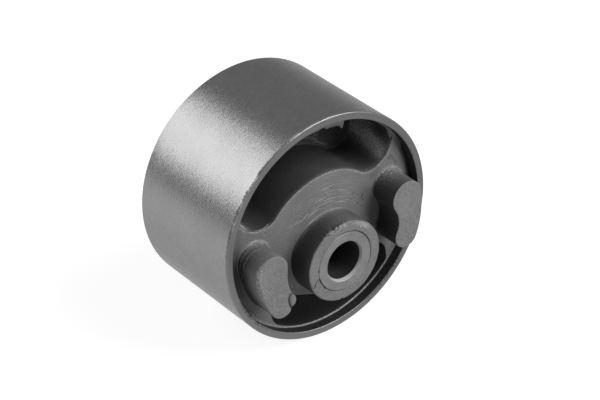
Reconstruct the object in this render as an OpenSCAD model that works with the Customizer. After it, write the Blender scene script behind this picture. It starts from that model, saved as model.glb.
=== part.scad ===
// Engine mount bush: a steel sleeve that is pressed into a bracket, a thick steel tube for the bolt below
// its axis, and one rubber moulding bonded between the two.
// The sleeve's axis lies along Y, with the origin at its middle and Z up. Both ends are alike.

/* [Outer sleeve] */
// Outside diameter, pressed into the bracket's eye
sleeve_od = 72; // [66:0.5:80]
// Length of the sleeve
sleeve_len = 42; // [34:0.5:52]
// Thickness of the sleeve's wall
sleeve_wall = 2.3; // [1.6:0.1:3.5]
// Broken edge round both rims
sleeve_edge = 0.4; // [0.1:0.1:0.8]

/* [Inner tube] */
// Outside diameter of the tube
tube_od = 18.8; // [16:0.1:22]
// Hole for the bolt
bolt_hole = 12.2; // [8:0.1:13]
// Countersink at both mouths of the hole, along the radius
mouth = 0.8; // [0.3:0.05:1.5]
// Broken outer edge at both ends of the tube
tube_edge = 0.25; // [0.1:0.05:0.6]
// How far the tube stands out of the sleeve at each end
tube_proud = 6.5; // [3:0.1:10]
// How far the tube's axis lies below the sleeve's axis
tube_drop = 8.7; // [4:0.1:12]

/* [Rubber hub and web] */
// Skin of rubber on the sleeve's wall
lining = 0.5; // [0.3:0.1:1.5]
// Depth of the web's face below the rim
face_recess = 3.1; // [1.5:0.1:6]
// Rise of the face along its middle
crown = 1.3; // [0.4:0.1:2]
// Half width of the raised middle
crown_half = 20; // [16:0.5:24]
// Width of the bevel where the web's two legs meet the sleeve
leg_bevel = 2.6; // [1:0.1:3.2]
// Depth of that bevel
leg_drop = 1.9; // [0.5:0.1:3]
// Direction of its lower end from the sleeve's axis
leg_from = -14; // [-20:1:-5]
// Direction of its upper end
leg_to = 29; // [20:1:32]
// Rubber round the tube
hub_wall = 3.45; // [2:0.05:5]
// Flare where the hub's foot meets the web
hub_flare = 0.6; // [0.3:0.1:2]
// Softened edges round the ends of the hub and the lugs
end_soft = 0.4; // [0.1:0.05:0.8]
// Step from the tube's ends down to the ends of the hub and the lugs
end_step = 0.2; // [0.05:0.05:1]

/* [Upper opening] */
// Top of the arch above the sleeve's axis
arch_top = 17; // [13:0.1:20]
// Radius of the arch
arch_r = 21.3; // [18:0.1:25]
// Floor of the two valleys beside the arch, above the sleeve's axis
valley_z = 8.5; // [7:0.1:10]
// Radius of the valleys
valley_r = 6.1; // [3:0.1:7]
// Slope of the ledges that run from the valleys out to the sleeve
ledge_angle = 27; // [10:1:60]
// Radius at the face of the flanks, where the opening widens between the valleys and the sleeve
flank_r = 10.6; // [8:0.1:14]
// Direction from a valley's centre where its flank begins, below the horizontal
flank_angle = 50; // [40:1:60]
// How sharply a flank turns off the valley
flank_turn = 12; // [8:1:20]
// Slope of the flanks as they narrow inwards
flank_slope = 25; // [15:1:40]
// Membrane that closes the opening halfway along
membrane = 1.8; // [0.8:0.1:4]

/* [Lower opening] */
// Rubber left between the hub and the opening
hub_skirt = 1.75; // [0.8:0.05:3]
// Radius of the opening's two shoulders
shoulder_r = 4.5; // [3:0.1:6]
// Room between the hub's skirt and a shoulder
shoulder_gap = 2.4; // [1:0.1:5]
// Direction of a shoulder from the hub, below the horizontal
shoulder_angle = 37; // [30:1:45]

/* [Lugs] */
// Room between a lug and the sleeve's bore
lug_gap = 3.7; // [2.5:0.1:6]
// Radius of the upper lobe
lug_top_r = 5.3; // [4:0.1:6]
// Direction of the upper lobe from the sleeve's axis
lug_top_angle = 1.5; // [-2:0.5:4]
// Radius of the lower lobe
lug_low_r = 4.1; // [3:0.1:5]
// Direction of the lower lobe from the sleeve's axis
lug_low_angle = -27.5; // [-32:0.5:-24]
// Radius of the waist on the hub's side
lug_waist_r = 8; // [4:0.1:12]
// Fillet where a lug's foot meets the web
lug_fillet = 1.2; // [0.4:0.1:2]

/* [Hidden] */
$fn = 144;
arc_step = 6;
fillet_steps = 3;
slack = 1;
bed = 0.2;

sleeve_r = sleeve_od / 2;
bond_r = sleeve_r - sleeve_wall;
lining_r = bond_r - lining;
tube_r = tube_od / 2;
tube_len = sleeve_len + 2 * tube_proud;
hub_r = tube_r + hub_wall;
hub_half = tube_len / 2 - end_step;
face_half = sleeve_len / 2 - face_recess;
crown_y = face_half + crown;
crown_r = (crown_half * crown_half + crown * crown) / (2 * crown);
crown_turn = asin((crown_half + slack) / crown_r);

arch_c = [0, arch_top - arch_r];
valley_c = [sqrt(pow(arch_r + valley_r, 2) - pow(valley_z + valley_r - arch_c.y, 2)), valley_z + valley_r];
flank_heading = -flank_angle - flank_turn;
flank_c = valley_c + valley_r * [cos(flank_angle), -sin(flank_angle)]
    - flank_r * [cos(flank_heading), sin(flank_heading)];

hub_c = [0, -tube_drop];
skirt_r = hub_r + hub_skirt;
shoulder_reach = skirt_r + shoulder_r + shoulder_gap;
shoulder_c = hub_c + shoulder_reach * [cos(shoulder_angle), -sin(shoulder_angle)];
shoulder_turn = acos((skirt_r + shoulder_r) / shoulder_reach);

lug_r = bond_r - lug_gap;
lug_top_c = (lug_r - lug_top_r) * [cos(lug_top_angle), sin(lug_top_angle)];
lug_low_c = (lug_r - lug_low_r) * [cos(lug_low_angle), sin(lug_low_angle)];

function heading(v) = atan2(v.y, v.x);

// The same direction, as an angle that comes after the first one.
function round_from(first, angle) = angle < first ? angle + 360 : angle;

// Points on an arc from one direction to another, with a point every few degrees.
function arc(c, r, from, to, step = arc_step) =
    let (n = max(2, ceil(abs(to - from) / step)))
    [for (i = [0 : n]) c + r * [cos(from + (to - from) * i / n), sin(from + (to - from) * i / n)]];

function flip(points) = [for (i = [len(points) - 1 : -1 : 0]) [-points[i].x, points[i].y]];

// Drops each point that repeats the one before it, where two arcs meet.
function distinct(points) =
    let (n = len(points))
    [for (i = [0 : n - 1]) if (norm(points[i] - points[(i + n - 1) % n]) > 0.001) points[i]];

// Centre of the circle of radius r that touches two other circles from outside, on the left of the line
// from a to b.
function touching(a, ra, b, rb, r) =
    let (d = norm(b - a), u = (b - a) / d)
    let (s = (pow(ra + r, 2) - pow(rb + r, 2) + d * d) / (2 * d))
    a + s * u + sqrt(pow(ra + r, 2) - s * s) * [-u.y, u.x];

// Right half of the upper opening: over the arch, through the valley, and along the ledge past the lining.
function upper_half() =
    let (touch = heading(valley_c - arch_c), brow = valley_c + [valley_r, 0])
    let (wall = brow + sleeve_r * [1, tan(ledge_angle)])
    concat(
        arc(arch_c, arch_r, 90, touch),
        arc(valley_c, valley_r, touch - 180, 0),
        [wall, [wall.x, wall.y + sleeve_r]]
    );

// Right half of the lower opening, from under the hub round the shoulder and down past the lining.
function lower_half() =
    let (touch = -shoulder_angle - shoulder_turn)
    concat(
        arc(hub_c, skirt_r, -90, touch),
        arc(shoulder_c, shoulder_r, touch + 180, 0),
        [[shoulder_c.x + shoulder_r, -sleeve_r]]
    );

// The crown of one face, seen from above, from right to left. Both ends run on below the flat of the legs.
function crown_line() =
    arc([0, crown_y - crown_r], crown_r, 90 - crown_turn, 90 + crown_turn, crown_turn / 8);

// Kidney outline of the right lug, grown by some amount: two lobes, an outer side that follows the sleeve,
// and a waist that touches both lobes.
function lug_outline(grown) =
    let (waist_c = touching(lug_low_c, lug_low_r, lug_top_c, lug_top_r, lug_waist_r))
    let (top_end = round_from(lug_top_angle, heading(waist_c - lug_top_c)))
    let (low_end = round_from(lug_top_angle, heading(waist_c - lug_low_c)))
    distinct(concat(
        arc([0, 0], lug_r + grown, lug_low_angle, lug_top_angle),
        arc(lug_top_c, lug_top_r + grown, lug_top_angle, top_end),
        arc(waist_c, lug_waist_r - grown, top_end - 180, low_end - 180),
        arc(lug_low_c, lug_low_r + grown, low_end, lug_low_angle + 360)
    ));

// Growth and place along the sleeve of each ring of a lug, from the web's middle out to one end.
function lug_levels() = concat(
    [for (i = [0 : fillet_steps])
        let (turn = 90 * i / fillet_steps)
        [lug_fillet * (1 - sin(turn)), face_half - bed + lug_fillet * (1 - cos(turn))]],
    [[0, hub_half - end_soft], [-end_soft, hub_half]]
);

// Lays a flat outline across the sleeve and runs it along the sleeve's axis.
module along(length) {
    rotate([90, 0, 0])
        linear_extrude(height = length, center = true)
            children();
}

// Turns a half profile, radius by length, about an axis along Y at the given height.
module turned(z) {
    translate([0, 0, z])
        rotate([-90, 0, 0])
            rotate_extrude()
                children();
}

module lower_opening() {
    intersection() {
        circle(r = lining_r);
        polygon(distinct(concat(flip(lower_half()), lower_half())));
    }
}

// A sector with its point at c, between two directions and longer than the mount.
module sector(c, from, to) {
    polygon(concat([c], arc(c, sleeve_od, from, to)));
}

// Room beside the right valley, part of a cone that narrows from the front face inwards. It begins inside the
// valley and reaches up to the room above the ledge.
module flank() {
    deep = flank_r / tan(flank_slope);
    intersection() {
        translate([flank_c.x, deep - face_half, flank_c.y])
            rotate([90, 0, 0])
                cylinder(h = 2 * deep, r1 = 0, r2 = 2 * flank_r);
        along(tube_len)
            sector(flank_c, flank_heading - flank_turn, 90);
    }
}

// The front half of the upper opening, from the membrane outwards.
module upper_opening() {
    intersection() {
        translate([0, -(tube_len + membrane) / 2, 0])
            along(tube_len)
                circle(r = lining_r);
        union() {
            along(2 * tube_len)
                polygon(distinct(concat(flip(upper_half()), upper_half())));
            for (side = [0, 1])
                mirror([side, 0, 0])
                    flank();
        }
    }
}

// Bevels on the front of both legs, next to the sleeve.
module leg_bevels() {
    steep = leg_drop / leg_bevel;
    intersection() {
        turned(0)
            polygon([
                [bond_r - leg_bevel - slack, -steep * slack - face_half],
                [sleeve_r, steep * (sleeve_r - bond_r + leg_bevel) - face_half],
                [sleeve_r, -tube_len],
                [bond_r - leg_bevel - slack, -tube_len],
            ]);
        along(2 * tube_len) {
            sector([0, 0], leg_from, leg_to);
            mirror([1, 0])
                sector([0, 0], leg_from, leg_to);
        }
    }
}

// Both faces of the web: flat at the legs and the lining, crowned along the middle, flared round the hub.
module face_envelope() {
    along(2 * face_half)
        circle(r = sleeve_r);
    intersection() {
        linear_extrude(height = sleeve_od, center = true)
            polygon(concat(crown_line(), -crown_line()));
        along(2 * tube_len)
            circle(r = lining_r - slack);
    }
    turned(-tube_drop)
        polygon([
            [0, -crown_y - hub_flare - slack],
            [hub_r - slack, -crown_y - hub_flare - slack],
            [hub_r + hub_flare + crown, crown - crown_y],
            [hub_r + hub_flare + crown, crown_y - crown],
            [hub_r - slack, crown_y + hub_flare + slack],
            [0, crown_y + hub_flare + slack],
        ]);
}

module web() {
    intersection() {
        difference() {
            along(tube_len)
                circle(r = bond_r);
            along(tube_len + slack)
                lower_opening();
            for (end = [0, 1])
                mirror([0, end, 0]) {
                    upper_opening();
                    leg_bevels();
                }
        }
        face_envelope();
    }
}

module hub() {
    turned(-tube_drop)
        polygon([
            [0, -hub_half],
            [hub_r - end_soft, -hub_half],
            [hub_r, -hub_half + end_soft],
            [hub_r, hub_half - end_soft],
            [hub_r - end_soft, hub_half],
            [0, hub_half],
        ]);
}

// Skin over a row of rings that have the same number of points.
module loft(rings) {
    n = len(rings[0]);
    last = len(rings) - 1;
    polyhedron(
        points = [for (ring = rings) each ring],
        faces = concat(
            [[for (i = [n - 1 : -1 : 0]) i]],
            [for (k = [0 : last - 1], i = [0 : n - 1])
                [k * n + i, k * n + (i + 1) % n, (k + 1) * n + (i + 1) % n, (k + 1) * n + i]],
            [[for (i = [0 : n - 1]) last * n + i]]
        )
    );
}

module lugs() {
    half = lug_levels();
    levels = concat([for (i = [len(half) - 1 : -1 : 0]) [half[i][0], -half[i][1]]], half);
    for (side = [0, 1])
        mirror([side, 0, 0])
            loft([for (level = levels) [for (p = lug_outline(level[0])) [p.x, level[1], p.y]]]);
}

module outer_sleeve() {
    color("silver")
        turned(0)
            polygon([
                [bond_r, -sleeve_len / 2 + sleeve_edge],
                [bond_r + sleeve_edge, -sleeve_len / 2],
                [sleeve_r - sleeve_edge, -sleeve_len / 2],
                [sleeve_r, -sleeve_len / 2 + sleeve_edge],
                [sleeve_r, sleeve_len / 2 - sleeve_edge],
                [sleeve_r - sleeve_edge, sleeve_len / 2],
                [bond_r + sleeve_edge, sleeve_len / 2],
                [bond_r, sleeve_len / 2 - sleeve_edge],
            ]);
}

module inner_tube() {
    color("lightsteelblue")
        turned(-tube_drop)
            polygon([
                [bolt_hole / 2, -tube_len / 2 + mouth],
                [bolt_hole / 2 + mouth, -tube_len / 2],
                [tube_r - tube_edge, -tube_len / 2],
                [tube_r, -tube_len / 2 + tube_edge],
                [tube_r, tube_len / 2 - tube_edge],
                [tube_r - tube_edge, tube_len / 2],
                [bolt_hole / 2 + mouth, tube_len / 2],
                [bolt_hole / 2, tube_len / 2 - mouth],
            ]);
}

module rubber_body() {
    color("dimgray")
        difference() {
            union() {
                web();
                hub();
                lugs();
            }
            turned(-tube_drop)
                translate([0, -tube_len])
                    square([tube_r, 2 * tube_len]);
        }
}

outer_sleeve();
inner_tube();
rubber_body();
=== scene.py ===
import bpy
import math
import numpy as np
from mathutils import Matrix, Vector, noise
from mathutils.geometry import delaunay_2d_cdt


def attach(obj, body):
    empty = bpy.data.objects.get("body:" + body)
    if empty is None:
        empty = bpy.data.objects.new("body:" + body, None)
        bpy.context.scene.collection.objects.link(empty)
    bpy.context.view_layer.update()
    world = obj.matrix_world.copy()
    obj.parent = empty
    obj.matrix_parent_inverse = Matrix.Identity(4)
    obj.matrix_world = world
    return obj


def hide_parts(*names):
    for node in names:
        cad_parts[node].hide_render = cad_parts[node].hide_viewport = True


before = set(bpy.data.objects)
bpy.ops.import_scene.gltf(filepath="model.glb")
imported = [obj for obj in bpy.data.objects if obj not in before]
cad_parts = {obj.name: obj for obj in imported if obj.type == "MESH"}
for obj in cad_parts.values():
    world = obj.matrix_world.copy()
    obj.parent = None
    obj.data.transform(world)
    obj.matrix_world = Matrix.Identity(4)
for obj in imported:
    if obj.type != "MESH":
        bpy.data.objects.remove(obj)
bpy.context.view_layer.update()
mm = 0.001  # sizes below are in millimetres, the scene is in metres
print("frame loaded:", sorted(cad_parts))

# The sleeve's axis is Y, the face that the camera sees is at -Y, Z is up.
layout = {
    "sleeveR": 36.0, "sleeveHalf": 21.0, "boreR": 33.7, "liningR": 33.2,
    "tubeR": 9.4, "boltR": 6.1, "tubeHalf": 27.5, "tubeDrop": 8.7,
}
hubCentre = np.array((0.0, -layout["tubeDrop"]))


# Outlines, as arrays of (x, z) that run counter-clockwise seen from the front

def arcLine(centre, radius, start, stop, step=2.0):
    count = max(2, int(math.ceil(abs(stop - start) / step)))
    turn = np.radians(np.linspace(start, stop, count + 1))
    return np.column_stack((centre[0] + radius * np.cos(turn), centre[1] + radius * np.sin(turn)))


def mirrorLine(line):
    return line[::-1] * np.array((-1.0, 1.0))


def evenLoop(line, spacing):
    closed = np.vstack((line, line[:1]))
    along = np.concatenate(([0.0], np.cumsum(np.hypot(*np.diff(closed, axis=0).T))))
    count = int(round(along[-1] / spacing))
    places = np.arange(count) * along[-1] / count
    return np.column_stack([np.interp(places, along, closed[:, k]) for k in (0, 1)])


def softLoop(loop, passes):
    for _ in range(passes):
        loop = (np.roll(loop, 1, 0) + 2 * loop + np.roll(loop, -1, 0)) / 4
    return loop


def counterClockwise(loop):
    area = np.sum(loop[:, 0] * np.roll(loop[:, 1], -1) - loop[:, 1] * np.roll(loop[:, 0], -1))
    return loop if area > 0 else loop[::-1]


def grownLoop(loop, amount):
    way = np.roll(loop, -1, 0) - np.roll(loop, 1, 0)
    out = np.column_stack((way[:, 1], -way[:, 0]))
    return loop + np.reshape(amount, (-1, 1)) * out / np.linalg.norm(out, axis=1)[:, None]


def insideLoop(points, loop):
    x, z = points[:, :1], points[:, 1:]
    a, b = loop, np.roll(loop, -1, 0)
    rise = np.where(b[:, 1] == a[:, 1], 1e-12, b[:, 1] - a[:, 1])
    crossing = (a[:, 1] > z) != (b[:, 1] > z)
    return np.sum(crossing & (x < a[:, 0] + (z - a[:, 1]) * (b[:, 0] - a[:, 0]) / rise), axis=1) % 2 == 1


def betweenLoops(points, outer, holes):
    keep = insideLoop(points, outer)
    for hole in holes:
        keep &= ~insideLoop(points, hole)
    return keep


def gapTo(points, others):
    gaps = [np.linalg.norm(part[:, None, :] - others[None], axis=2).min(1)
            for part in np.array_split(points, max(1, len(points) // 400)) if len(part)]
    return np.concatenate(gaps)


# Triangles between an outer loop and some holes, with even points in between.
def fillBetween(outer, holes, spacing, extra=None):
    loops = [outer] + list(holes)
    rim = np.vstack(loops)
    low, high = outer.min(0), outer.max(0)
    grid = []
    for row, z in enumerate(np.arange(low[1], high[1], spacing * 0.866)):  # even triangles
        xs = np.arange(low[0] + (row % 2) * spacing / 2, high[0], spacing)
        grid.append(np.column_stack((xs, np.full(len(xs), z))))
    grid = np.vstack(grid)
    if extra is not None:
        grid = np.vstack((extra, grid[gapTo(grid, extra) > spacing * 0.5]))
    grid = grid[betweenLoops(grid, outer, holes)]
    grid = grid[gapTo(grid, rim) > spacing * 0.45]
    points = np.vstack((rim, grid))
    edges, start = [], 0
    for loop in loops:
        edges += [(start + i, start + (i + 1) % len(loop)) for i in range(len(loop))]
        start += len(loop)
    made = delaunay_2d_cdt([Vector(p) for p in points], edges, [], 0, 1e-7)
    flat = np.array([v[:] for v in made[0]])
    triangles = np.array([t for t in made[2] if len(t) == 3])
    triangles = triangles[betweenLoops(flat[triangles].mean(1), outer, holes)]
    a, b, c = (flat[triangles[:, k]] for k in range(3))
    turned = (b - a)[:, 0] * (c - a)[:, 1] - (b - a)[:, 1] * (c - a)[:, 0] < 0
    triangles[turned] = triangles[turned][:, ::-1]
    where = {}
    for new, olds in enumerate(made[3]):
        for old in olds:
            where[old] = new
    ends = np.cumsum([0] + [len(loop) for loop in loops])
    marks = [np.array([where[i] for i in range(ends[k], ends[k + 1])]) for k in range(len(loops))]
    return flat, triangles, marks


# One skin of points and faces, later a mesh

class Skin:
    def __init__(self):
        self.points, self.faces, self.side, self.marks = [], [], -1, {}

    def add(self, flat, out, **marks):
        start, count = len(self.points), len(flat)
        outs = np.broadcast_to(out, (count,))
        self.points += [(p[0], self.side * o, p[1]) for p, o in zip(flat, outs)]
        for name in sorted(set(self.marks) | set(marks)):
            row = self.marks.setdefault(name, [0.0] * start)
            row += list(np.broadcast_to(marks.get(name, 0.0), (count,)))
        return np.arange(start, start + count)

    def face(self, corners):
        self.faces.append(tuple(int(i) for i in (corners if self.side < 0 else corners[::-1])))

    def band(self, a, b):
        for i in range(len(a)):
            j = (i + 1) % len(a)
            self.face((a[i], a[j], b[j], b[i]))

    def rows(self, rings):
        for a, b in zip(rings, rings[1:]):
            self.band(a, b)

    def fill(self, made, triangles):
        for t in triangles:
            self.face(made[t])

    def closeStrip(self, rows):  # rows along a strip, joined all round and at both ends
        for a, b in zip(rows, rows[1:] + rows[:1]):
            for i in range(len(a) - 1):
                self.face((a[i], a[i + 1], b[i + 1], b[i]))
        self.face([r[0] for r in rows])
        self.face([r[-1] for r in rows[::-1]])


def makePiece(name, skin, material, sharp=40.0):
    mesh = bpy.data.meshes.new(name)
    mesh.from_pydata([tuple(c * mm for c in p) for p in skin.points], [], skin.faces)
    mesh.validate()
    for markName, values in skin.marks.items():
        layer = mesh.attributes.new(markName, "FLOAT", "POINT")
        layer.data.foreach_set("value", np.array(values, np.float32))
    mesh.polygons.foreach_set("use_smooth", np.ones(len(mesh.polygons), bool))
    mesh.set_sharp_from_angle(angle=math.radians(sharp))
    mesh.materials.append(material)
    piece = bpy.data.objects.new(name, mesh)
    bpy.context.scene.collection.objects.link(piece)
    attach(piece, "root")
    print("piece", name, len(mesh.vertices), "points", len(mesh.polygons), "faces")
    return piece


def smoothNoise(flat, size, seed):  # smooth noise between about -1 and 1 over (x, z)
    return np.array([noise.noise((p[0] / size, seed, p[1] / size)) for p in flat])


def bellCurve(value, middle, width):
    return np.exp(-((value - middle) / width) ** 2)


def angleGap(angle, middle):  # difference of two angles in degrees
    return np.abs((angle - middle + 180) % 360 - 180)


def around(degrees, middle, width):  # 1 in one direction, less to both sides
    return bellCurve(angleGap(degrees, middle), 0, width)


def bumpsAround(degrees, rows):  # rows of direction, width and height
    return sum(height * around(degrees, middle, width) for middle, width, height in rows)


def nearTo(flat, spot, size):
    return bellCurve(np.hypot(*(flat - spot).T), 0, size)


def risen(value, start, full):  # 0 at the start and 1 from the full value on
    return np.clip((value - start) / (full - start), 0, 1)


def noiseRow(values, pace, seed):
    return np.array([noise.noise((v * pace, seed, 0.0)) for v in values])


def quarterSteps(count):  # angles of a rounded edge, without its start
    return np.radians(np.linspace(0, 90, count + 1))[1:]


# Materials

def addNode(tree, kind, **values):
    node = tree.nodes.new(kind)
    for name, value in values.items():
        if hasattr(node, name):
            setattr(node, name, value)
        else:
            node.inputs[name.replace("_", " ")].default_value = value
    return node


def wire(tree, source, target):
    tree.links.new(source, target)


def mathNode(tree, operation, a, b=None, clamp=False):
    node = tree.nodes.new("ShaderNodeMath")
    node.operation, node.use_clamp = operation, clamp
    for socket, value in zip(node.inputs, (a, b)):
        if value is None:
            continue
        if isinstance(value, (int, float)):
            socket.default_value = value
        else:
            wire(tree, value, socket)
    return node.outputs[0]


def times(tree, a, b):
    return mathNode(tree, "MULTIPLY", a, b)


def rampNode(tree, value, low, high, lowTo=0.0, highTo=1.0):
    node = tree.nodes.new("ShaderNodeMapRange")
    node.interpolation_type = "SMOOTHSTEP"
    for name, number in (("From Min", low), ("From Max", high), ("To Min", lowTo), ("To Max", highTo)):
        node.inputs[name].default_value = number
    wire(tree, value, node.inputs["Value"])
    return node.outputs[0]


def colourMix(tree, factor, a, b):
    node = tree.nodes.new("ShaderNodeMix")
    node.data_type = "RGBA"
    sockets = [s for s in node.inputs if s.type == "RGBA"]
    for socket, value in zip(sockets, (a, b)):
        if isinstance(value, tuple):
            socket.default_value = value
        else:
            wire(tree, value, socket)
    wire(tree, factor, node.inputs["Factor"])
    return [s for s in node.outputs if s.type == "RGBA"][0]


def newGroup(name, inputs, outputs):
    tree = bpy.data.node_groups.new(name, "ShaderNodeTree")
    for socketName, kind, value in inputs:
        socket = tree.interface.new_socket(socketName, in_out="INPUT", socket_type=kind)
        socket.default_value = value
    for socketName, kind in outputs:
        tree.interface.new_socket(socketName, in_out="OUTPUT", socket_type=kind)
    return tree, tree.nodes.new("NodeGroupInput").outputs, tree.nodes.new("NodeGroupOutput").inputs


def useGroup(tree, group, **values):
    node = tree.nodes.new("ShaderNodeGroup")
    node.node_tree = group
    for name, value in values.items():
        node.inputs[name].default_value = value
    return node


def newMaterial(name):
    material = bpy.data.materials.new(name)
    material.use_nodes = True
    tree = material.node_tree
    return material, tree, tree.nodes["Principled BSDF"]


def grey(value):
    return (value, value, value, 1.0)


def attributeOf(tree, name):
    return addNode(tree, "ShaderNodeAttribute", attribute_name=name).outputs["Fac"]


def addBump(tree, shader, height, strength, depth):
    bump = addNode(tree, "ShaderNodeBump", Strength=strength, Distance=depth)
    wire(tree, height, bump.inputs["Height"])
    wire(tree, bump.outputs[0], shader.inputs["Normal"])


def blendNode(tree, a, b, share):  # two values, the second by its share
    return mathNode(tree, "ADD", times(tree, a, 1 - share), times(tree, b, share))


# Fine lines that run round an axis along Y, for ground and turned steel.
def makeTurnedLines():
    tree, given, result = newGroup(
        "turnedLines",
        [("Axis Height", "NodeSocketFloat", 0.0), ("Line Pitch", "NodeSocketFloat", 1000.0),
         ("Line Length", "NodeSocketFloat", 60.0)],
        [("Lines", "NodeSocketFloat"), ("Cloud", "NodeSocketFloat")])
    place = tree.nodes.new("ShaderNodeSeparateXYZ")
    wire(tree, addNode(tree, "ShaderNodeTexCoord").outputs["Object"], place.inputs[0])
    up = mathNode(tree, "SUBTRACT", place.outputs["Z"], given["Axis Height"])
    turn = mathNode(tree, "ARCTAN2", up, place.outputs["X"])
    span = mathNode(tree, "SQRT", mathNode(tree, "ADD", mathNode(tree, "POWER", place.outputs["X"], 2.0),
                                           mathNode(tree, "POWER", up, 2.0)))
    across = mathNode(tree, "ADD", place.outputs["Y"], span)
    spot = tree.nodes.new("ShaderNodeCombineXYZ")
    wire(tree, times(tree, turn, given["Line Length"]), spot.inputs["X"])
    wire(tree, times(tree, across, given["Line Pitch"]), spot.inputs["Y"])
    fine = addNode(tree, "ShaderNodeTexNoise", Scale=1.0, Detail=3.0, Roughness=0.6)
    wire(tree, spot.outputs[0], fine.inputs["Vector"])
    cloud = addNode(tree, "ShaderNodeTexNoise", Scale=160.0, Detail=5.0, Roughness=0.62)
    wire(tree, addNode(tree, "ShaderNodeTexCoord").outputs["Object"], cloud.inputs["Vector"])
    wire(tree, fine.outputs["Fac"], result["Lines"])
    wire(tree, cloud.outputs["Fac"], result["Cloud"])
    return tree


# Speckle and soft patches, for the satin of steel and the bloom of rubber.
def makeSpeckle():
    tree, given, result = newGroup(
        "speckle",
        [("Grain Scale", "NodeSocketFloat", 2500.0), ("Patch Scale", "NodeSocketFloat", 120.0)],
        [("Grain", "NodeSocketFloat"), ("Patches", "NodeSocketFloat"), ("Pits", "NodeSocketFloat")])
    place = addNode(tree, "ShaderNodeTexCoord").outputs["Object"]
    grain = addNode(tree, "ShaderNodeTexNoise", Detail=3.0, Roughness=0.65)
    patches = addNode(tree, "ShaderNodeTexNoise", Detail=4.0, Roughness=0.55)
    pits = addNode(tree, "ShaderNodeTexVoronoi", Randomness=1.0)
    for node, name in ((grain, "Grain Scale"), (patches, "Patch Scale")):
        wire(tree, place, node.inputs["Vector"])
        wire(tree, given[name], node.inputs["Scale"])
    wire(tree, place, pits.inputs["Vector"])
    wire(tree, times(tree, given["Grain Scale"], 0.35), pits.inputs["Scale"])
    wire(tree, grain.outputs["Fac"], result["Grain"])
    wire(tree, patches.outputs["Fac"], result["Patches"])
    wire(tree, rampNode(tree, pits.outputs["Distance"], 0.16, 0.02), result["Pits"])
    return tree


turnedLines = makeTurnedLines()
speckle = makeSpeckle()


def makeSleeveSteel():
    look = {"light": 0.31, "dark": 0.24, "pale": 0.62, "smooth": 0.2, "rough": 0.3, "bump": 0.2,
            "cutTone": 0.2, "cutRough": 0.4, "filmTone": 0.022, "filmSpeck": 0.12, "filmRough": 0.55,
            "filmShine": 0.25, "grazing": 0.8, "wornMatt": 0.7, "grainShare": 0.18, "cloudShare": 0.25,
            "bumpDepth": 0.0004}
    material, tree, shader = newMaterial("sleeveSteel")
    lines = useGroup(tree, turnedLines, **{"Line Pitch": 3300.0, "Line Length": 15.0})
    dots = useGroup(tree, speckle, **{"Grain Scale": 2600.0, "Patch Scale": 70.0})
    mixed = blendNode(tree, lines.outputs["Lines"], dots.outputs["Grain"], look["grainShare"])
    tone = blendNode(tree, mixed, lines.outputs["Cloud"], look["cloudShare"])
    base = colourMix(tree, rampNode(tree, tone, 0.3, 0.7), grey(look["dark"]), grey(look["light"]))
    cut, film, wear = (attributeOf(tree, name) for name in ("cut", "film", "wear"))
    base = colourMix(tree, cut, base, grey(look["cutTone"]))
    worn = times(tree, wear, rampNode(tree, dots.outputs["Grain"], 0.36, 0.56))
    base = colourMix(tree, worn, base, grey(look["pale"]))
    specks = rampNode(tree, dots.outputs["Grain"], 0.58, 0.7)
    filmTone = colourMix(tree, specks, grey(look["filmTone"]), grey(look["filmSpeck"]))
    wire(tree, colourMix(tree, film, base, filmTone), shader.inputs["Base Color"])
    rough = rampNode(tree, mixed, 0.35, 0.65, look["smooth"], look["rough"])
    rough = mathNode(tree, "MAXIMUM", rough, times(tree, cut, look["cutRough"]))
    rough = mathNode(tree, "MAXIMUM", rough, times(tree, film, look["filmRough"]))
    wire(tree, rough, shader.inputs["Roughness"])
    plain = mathNode(tree, "SUBTRACT", 1.0, mathNode(tree, "MAXIMUM", cut, film), clamp=True)
    addBump(tree, shader, times(tree, mixed, plain), look["bump"], look["bumpDepth"])
    dull = mathNode(tree, "MAXIMUM", film, times(tree, worn, look["wornMatt"]))
    wire(tree, mathNode(tree, "SUBTRACT", 1.0, dull, clamp=True), shader.inputs["Metallic"])
    shader.inputs["Specular Tint"].default_value = grey(look["grazing"])
    shader.inputs["Specular IOR Level"].default_value = look["filmShine"]
    return material


def makeTubeSteel():
    look = {"light": 0.3, "dark": 0.23, "pale": 0.42, "shadeAndCrackTone": 0.022, "matt": 1.25, "smooth": 0.4,
            "rough": 0.56, "bump": 0.1, "bumpDepth": 0.0003, "patchShare": 0.4}
    material, tree, shader = newMaterial("tubeSteel")
    lines = useGroup(tree, turnedLines, **{"Axis Height": -layout["tubeDrop"] * mm, "Line Pitch": 3200.0,
                                           "Line Length": 6.0})
    dots = useGroup(tree, speckle, **{"Grain Scale": 1800.0, "Patch Scale": 240.0})
    tone = blendNode(tree, lines.outputs["Lines"], dots.outputs["Patches"], look["patchShare"])
    base = colourMix(tree, rampNode(tree, tone, 0.36, 0.64), grey(look["dark"]), grey(look["light"]))
    wear, deep = attributeOf(tree, "wear"), attributeOf(tree, "deep")
    base = colourMix(tree, wear, base, grey(look["pale"]))
    # deep: painted shade down the bolt hole, and the dark crack line on the outer chamfer
    wire(tree, colourMix(tree, deep, base, grey(look["shadeAndCrackTone"])), shader.inputs["Base Color"])
    wire(tree, rampNode(tree, tone, 0.35, 0.65, look["smooth"], look["rough"]), shader.inputs["Roughness"])
    addBump(tree, shader, lines.outputs["Lines"], look["bump"], look["bumpDepth"])
    dull = times(tree, mathNode(tree, "MAXIMUM", deep, wear), look["matt"])
    wire(tree, mathNode(tree, "SUBTRACT", 1.0, dull, clamp=True), shader.inputs["Metallic"])
    return material


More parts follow.
